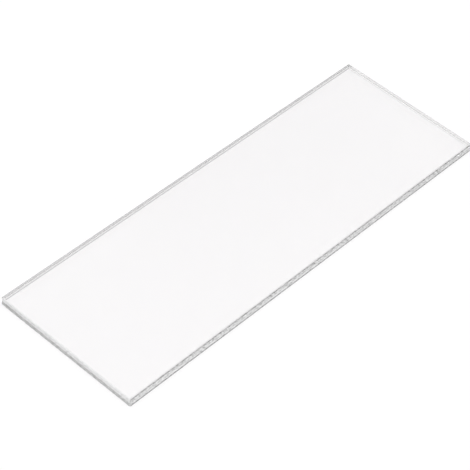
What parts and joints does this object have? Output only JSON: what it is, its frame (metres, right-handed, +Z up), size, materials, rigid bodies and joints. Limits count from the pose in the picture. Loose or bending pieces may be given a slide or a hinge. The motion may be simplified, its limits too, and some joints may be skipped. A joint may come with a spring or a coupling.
{
  "type": "glass plate",
  "caption": "Flat rectangular plate of clear glass, three times as long as wide, with ground edges, seamed rims and dubbed corners.",
  "frame": {"origin": "middle of the underside, on the surface that the plate lies on", "axes": "+X along the plate's length, +Y across its width, +Z up through its thickness"},
  "size_m": [0.3, 0.1, 0.006],
  "materials": {
    "clear_glass": "clear float glass, polished faces, fine-ground edges, seams and corner flats"
  },
  "bodies": {
    "root": {"glass_plate": "clear_glass"}
  },
  "joints": []
}
